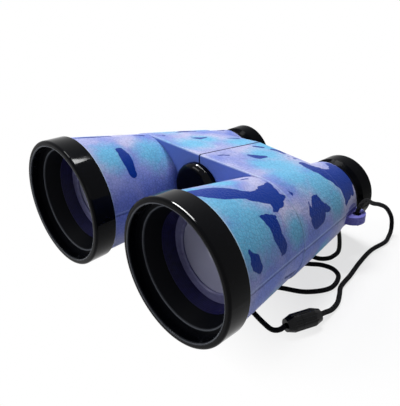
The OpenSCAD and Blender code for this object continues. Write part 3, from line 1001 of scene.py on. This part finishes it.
@dataclass(frozen=True)
class Route:
    """A smooth line through points given in millimetres of the part's frame."""

    points: tuple[Point, ...]

    def line(self, steps: int) -> list[Vector]:
        """Points along the line, in metres.

        Args:
            steps: steps between one point of the route and the next.

        Returns:
            The points from first to last.
        """
        knots = [Vector(p) * MM for p in self.points]
        last = len(knots) - 1
        found = []
        for k in range(last * steps + 1):
            i = min(k // steps, last - 1)
            t = k / steps - i
            a, b, c, d = knots[max(i - 1, 0)], knots[i], knots[i + 1], knots[min(i + 2, last)]
            cubic = 3 * b - a - 3 * c + d
            found.append((2 * b + (c - a) * t + (2 * a - 5 * b + 4 * c - d) * t * t + cubic * t ** 3) / 2)
        return found


def length_of(line: Sequence[Vector]) -> float:
    """Length of a line of points."""
    return sum((b - a).length for a, b in zip(line, line[1:]))


def tube(
    name: str, line: Sequence[Vector], radius: float, sides: int, closed: bool = False
) -> bpy.types.Object:
    """A tube along a line, with its length and girth as texture coordinates.

    Args:
        name: the new object's name.
        line: the middle of the tube.
        radius: radius of the tube.
        sides: sides round it.
        closed: whether the end joins the start.

    Returns:
        The new object, not yet riding on a body.
    """
    mesh = bmesh.new()
    coords = mesh.loops.layers.uv.new("UVMap")
    count = len(line)
    rings: list[list[bmesh.types.BMVert]] = []
    lengths = [0.0]
    turns = [2 * math.pi * k / sides for k in range(sides)]
    across = Vector(TUBE_SIDE)
    for i, centre in enumerate(line):
        after = line[(i + 1) % count] if closed else line[min(i + 1, count - 1)]
        before = line[i - 1] if closed else line[max(i - 1, 0)]
        way = (after - before).normalized()
        across = (across - way * across.dot(way)).normalized()
        up = way.cross(across)
        spokes = [math.cos(a) * across + math.sin(a) * up for a in turns]
        rings.append([mesh.verts.new(centre + radius * spoke) for spoke in spokes])
        lengths.append(lengths[-1] + (after - centre).length)
    for i in range(count if closed else count - 1):
        ring, onward = rings[i], rings[(i + 1) % count]
        for k in range(sides):
            face = mesh.faces.new((ring[k], ring[(k + 1) % sides], onward[(k + 1) % sides], onward[k]))
            face.smooth = True
            corners = ((i, k), (i, k + 1), (i + 1, k + 1), (i + 1, k))
            for loop, (step, turn) in zip(face.loops, corners):
                loop[coords].uv = (lengths[step] / (2 * radius), turn / sides)
    if not closed:
        mesh.faces.new(tuple(reversed(rings[0])))
        mesh.faces.new(tuple(rings[-1]))
    bmesh.ops.recalc_face_normals(mesh, faces=mesh.faces)
    return add_mesh(name, mesh)


@dataclass
class NeckCord:
    """The braided neck cord in two lengths, its break-away clasp, and the knots under the lugs."""

    diameter: float = 2.0 * MM
    sides: int = 14
    steps: int = 8
    knot_scale: float = 0.42 * MM
    knot_steps: int = 60
    blend_start: Point = (-33.0 * MM, 70.0 * MM, 1.0 * MM)
    blend_end: Point = (-50.0 * MM, 70.0 * MM, 18.0 * MM)
    right: Route = Route((
        (50, 37.4, 18.5), (50, 37.4, 20.4), (50, 38.3, 23.3), (49.9, 40.6, 25.6), (49.6, 44.2, 26),
        (49.1, 47.6, 24.6), (48.5, 51, 22.4), (48, 55, 20.2), (48, 60, 18), (48.5, 66, 14.2),
        (49.8, 69.6, 8.4), (51.2, 68.4, 3.2), (52.6, 64.2, 1.3), (54, 58.5, 1), (53.5, 48, 1),
        (55.5, 36, 1), (58.5, 24, 1), (60.5, 14.5, 1), (63.5, 9, 1), (66, 4, 1), (67, -1, 1),
        (67.3, -6, 2.4), (67.5, -10, 3.5),
    ))
    left: Route = Route((
        (62.8, -23.8, 3.5), (61.6, -25.8, 2), (58.8, -26.8, 1.1), (54, -26, 1), (48.5, -24.5, 1),
        (42.5, -22.5, 1), (38.5, -18, 1), (37.5, -12, 1), (40, -7, 1), (44.5, -4, 1), (53, 1, 1),
        (58.2, 10, 1), (56, 19, 1), (51, 22.6, 1), (45.5, 21.8, 1), (41.2, 18.6, 1), (37.6, 16, 1),
        (33.8, 15.4, 1), (30.6, 17.2, 1), (29.5, 20.5, 1), (30.8, 23.8, 1), (34, 25.4, 1), (37.6, 24.6, 1),
        (41, 25, 1), (43.5, 27.2, 1), (44.6, 31, 1), (43, 38, 1), (33.5, 51.5, 1), (25, 59.5, 1),
        (14, 65.5, 1), (1, 68, 1), (-12, 67.2, 1), (-24, 67.6, 1), (-31, 71.8, 1), (-31.6, 78.2, 1),
        (-26, 82.2, 1), (-14, 82.4, 1), (0, 81.4, 1), (10, 83.2, 1), (14.2, 88.6, 1), (11, 94.6, 1),
        (2, 97, 1), (-12, 96.2, 1), (-26, 92.6, 1), (-37, 86, 1), (-44.5, 78.7, 1), (-48.4, 73.6, 3.2),
        (-49.8, 69.6, 7.6), (-49.6, 65.4, 13), (-48.8, 59, 17.6), (-48.1, 54.4, 20.4), (-48.5, 51, 22.4),
        (-49.1, 47.6, 24.6), (-49.6, 44.2, 26), (-49.9, 40.6, 25.6), (-50, 38.3, 23.3), (-50, 37.4, 20.4),
        (-50, 37.4, 18.5),
    ))

    def lay_right(self, finish: bpy.types.Material) -> bpy.types.Object:
        """The length from the right lug to the clasp.

        Args:
            finish: the cord's finish.

        Returns:
            The cord.
        """
        line = self.right.line(self.steps)
        made = tube("right_neck_cord", line, self.diameter / 2, self.sides)
        made.data.materials.append(finish)
        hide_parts("right_cord")
        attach(made, Side.RIGHT.body)
        length_of(line)
        return made

    def lay_left(self, finish: bpy.types.Material) -> bpy.types.Object:
        """The length from the clasp to the left lug.

        Args:
            finish: the cord's finish.

        Returns:
            The cord.
        """
        line = self.left.line(self.steps)
        made = tube("left_neck_cord", line, self.diameter / 2, self.sides)
        made.data.materials.append(finish)
        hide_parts("left_cord", "left_cord_end")
        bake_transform(made)
        length_of(line)
        return made

    def tie_knot(self, side: Side, finish: bpy.types.Material) -> bpy.types.Object:
        """The stopper knot under one lug.

        Args:
            side: which half.
            finish: the cord's finish.

        Returns:
            The knot.
        """
        low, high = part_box(f"{side.prefix}_knot")
        centre = (low + high) / 2
        line = []
        for k in range(self.knot_steps):
            t = 2 * math.pi * k / self.knot_steps
            x = math.sin(t) + 2 * math.sin(2 * t)
            y = math.cos(t) - 2 * math.cos(2 * t)
            line.append(centre + self.knot_scale * Vector((x, y, -2 * math.sin(3 * t))))
        made = tube(f"{side.prefix}_stopper_knot", line, self.diameter / 2, self.sides, closed=True)
        made.data.materials.append(finish)
        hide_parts(f"{side.prefix}_knot")
        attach(made, side.body)
        return made

    def build(self) -> None:
        """Lays both lengths and ties both knots."""
        finish = BraidedCord().make()
        clasp = MouldedBlack("clasp_black", gloss=0.1, texture=0.005, shine=0.14).make()
        dress(("clasp_socket", "clasp_plug"), clasp)
        for made in (self.lay_right(finish), self.lay_left(finish)):
            LOG.info("laid %s", made.name)
        for side in Side:
            LOG.info("tied %s", self.tie_knot(side, finish).name)


@dataclass
class Housing:
    """The printed shells of both halves and the screws that hold them."""

    lug: Point = (50.0, 37.7, 20.3)

    def build(self) -> None:
        """Dresses the shells and their screws."""
        camouflage = CamouflagePrint()
        steel = PlatedSteel("screw_steel").make()
        for side in Side:
            x, y, z = self.lug
            finish = camouflage.make(side, (side.value * x, y, z))
            dress((f"{side.prefix}_upper_shell", f"{side.prefix}_lower_shell"), finish)
            dress((f"{side.prefix}_shell_screws",), steel)


@dataclass
class FrontLenses:
    """The gloss rings at the front, with the lens cells, lenses and retaining rings behind them."""

    def build(self) -> None:
        """Dresses both front ends."""
        cell = VioletCell().make()
        keeper = VioletCell("retainer_violet", tint(116, 116, 156), tint(84, 84, 122)).make()
        glass = LensGlass("objective_glass").make()
        for side in Side:
            gloss = RingBlack(f"{side.prefix}_ring_gloss", side=side).make()
            dress((f"{side.prefix}_objective_ring",), gloss)
            dress((f"{side.prefix}_lens_cell",), cell)
            dress((f"{side.prefix}_lens_retainer",), keeper)
            dress((f"{side.prefix}_objective_lens",), glass)


@dataclass
class Eyepieces:
    """The eyepiece tubes, eye lenses and satin eyecups."""

    def build(self) -> None:
        """Dresses both eyepieces."""
        satin = MouldedBlack("eyecup_satin", gloss=0.1, texture=0.005, shine=0.015).make()
        inner = MouldedBlack("tube_black", gloss=0.4, texture=0.02).make()
        glass = LensGlass("eye_glass", tint(60, 60, 80), tint(92, 92, 110)).make()
        for side in Side:
            dress((f"{side.prefix}_eyecup",), satin)
            dress((f"{side.prefix}_eyepiece_tube",), inner)
            dress((f"{side.prefix}_eye_lens",), glass)


@dataclass
class Hinge:
    """The hinge pin with its cap, and the knob on its front end."""

    def build(self) -> None:
        """Dresses the pin, cap, washer and knob."""
        steel = PlatedSteel().make()
        dress(("hinge_pin", "knob_washer"), steel)
        dress(("pin_retainer",), MouldedBlack("cap_black", gloss=0.3, texture=0.02).make())
        dress(("focus_knob",), MouldedBlack("knob_gloss", shine=0.07).make())


@dataclass(frozen=True)
class Lamp:
    """A soft lamp, by its place, width and height in metres, its power in watts and the point it faces."""

    name: str
    place: Point
    size: tuple[float, float]
    power: float
    aim: Point = (0.0, 0.0, 0.02)
    lights_matt: bool = True

    def hang(self) -> None:
        """Adds the lamp to the scene."""
        data = bpy.data.lights.new(self.name, "AREA")
        data.shape = "ELLIPSE"
        data.size, data.size_y = self.size
        data.energy = self.power
        made = add(self.name, data)
        made.location = self.place
        made.rotation_mode = "QUATERNION"
        made.rotation_quaternion = (Vector(self.aim) - Vector(self.place)).to_track_quat("-Z", "Y")
        made.visible_diffuse = self.lights_matt


LAMPS = (
    Lamp("overhead", (-0.09, 0.22, 0.58), (0.18, 0.05), 1.8),
    Lamp("left", (-0.18, 0.09, 0.56), (0.20, 0.20), 1.75),
    Lamp("front", (-0.34, -0.40, 0.44), (0.30, 0.30), 2.0),
    Lamp("glint", (-0.20, 0.135, 0.58), (0.60, 0.03), 7.0, aim=(-0.23, 0.0, 0.02), lights_matt=False),
    Lamp("side", (0.48, -0.10, 0.34), (0.30, 0.30), 0.14),
)


@dataclass
class Studio:
    """White floor, soft lamps and the camera."""

    camera_place: Point = (161.56 * MM, -153.09 * MM, 133.77 * MM)
    azimuth: float = 48.096
    elevation: float = 26.512
    roll: float = -1.132
    focal_px: float = 552.575
    image_height: float = 406.0
    sensor: float = 36.0
    floor_size: float = 12.0
    floor_cells: int = 8
    floor_paper: Colour = tint(246, 246, 247)
    floor_bounce: Colour = tint(206, 206, 208)
    floor_glow: float = 0.7
    shade_middle: Point = (66.0, 36.0, 0.0)
    shade_near: float = 35.0
    shade_far: float = 88.0
    ambient: float = 0.11

    def place_camera(self) -> None:
        """Sets the camera at the photograph's viewing angle."""
        data = bpy.data.cameras.new("camera")
        data.sensor_width = self.sensor
        data.lens = self.focal_px * self.sensor / self.image_height
        data.clip_start = 1 * MM
        camera = add("camera", data)
        a, e, r = (math.radians(v) for v in (self.azimuth, self.elevation, self.roll))
        back = Vector((math.sin(a) * math.cos(e), -math.cos(a) * math.cos(e), math.sin(e)))
        right = Vector((math.cos(a), math.sin(a), 0.0))
        up = back.cross(right)
        tilted = (right * math.cos(r) + up * math.sin(r), up * math.cos(r) - right * math.sin(r), back)
        turn = Matrix(tilted).transposed().to_4x4()
        camera.matrix_world = Matrix.Translation(self.camera_place) @ turn
        bpy.context.scene.camera = camera

    def seen(self, shader: Shader) -> Signal:
        """The rays that show a surface to the camera, straight, mirrored or through glass.

        Args:
            shader: the tree to add to.

        Returns:
            1 on those rays and 0 on others.
        """
        path = shader.node("LightPath", {}, {})
        keys = ("Is Camera Ray", "Is Glossy Ray", "Is Transmission Ray")
        first, second, third = (shader.out(path, key) for key in keys)
        return (first + second + third).clamped()

    def lay_floor(self) -> None:
        """A white floor that keeps the object's shadow on its right; elsewhere its glow is painted light that
        washes the shadow out.
        """
        mesh = bmesh.new()
        cells = self.floor_cells
        bmesh.ops.create_grid(mesh, x_segments=cells, y_segments=cells, size=self.floor_size / 2)
        floor = add_mesh("floor", mesh)
        shader = Shader.of_material("floor_white")
        seen = self.seen(shader)
        tone = shader.mix(seen, self.floor_bounce, self.floor_paper)
        paper = shader.node("BsdfDiffuse", {}, {"Color": tone})
        glow = shader.node("Emission", {}, {"Color": WHITE, "Strength": 1.0})
        # Painted light: the glow rises to full white away from a spot on the right, washing out the real
        # shadow everywhere else.
        out = shader.vector("DISTANCE", shader.place(), self.shade_middle)
        far = out.ramp(self.shade_near, 1 / (self.shade_far - self.shade_near))
        both = shader.node("MixShader", {}, {0: seen * (self.floor_glow + far * (1 - self.floor_glow))})
        shader.join(paper, both, 1)
        shader.join(glow, both, 2)
        shader.join(both, shader.node("OutputMaterial", {}, {}))
        floor.data.materials.append(shader.owner)

    def light_world(self) -> None:
        """A white world to the eye, and a softer one to the light it sheds."""
        world = bpy.data.worlds.new("studio")
        bpy.context.scene.world = world
        shader = Shader(world)
        level = self.ambient + self.seen(shader) * (1 - self.ambient)
        sky = shader.node("Background", {}, {"Color": WHITE, "Strength": level})
        shader.join(sky, shader.node("OutputWorld", {}, {}))

    def build(self) -> None:
        """Sets the camera, floor, world and lamps."""
        bpy.context.scene.view_settings.view_transform = "Standard"
        self.place_camera()
        self.lay_floor()
        self.light_world()
        for lamp in LAMPS:
            lamp.hang()


def main() -> None:
    """Builds and dresses everything, in order."""
    logging.basicConfig(level=logging.INFO, format="%(name)s: %(message)s")
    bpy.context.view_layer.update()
    for assembly in (Studio(), NeckCord(), Housing(), FrontLenses(), Eyepieces(), Hinge()):
        assembly.build()
        LOG.info("built %s", type(assembly).__name__)


if __name__ == "__main__":
    main()
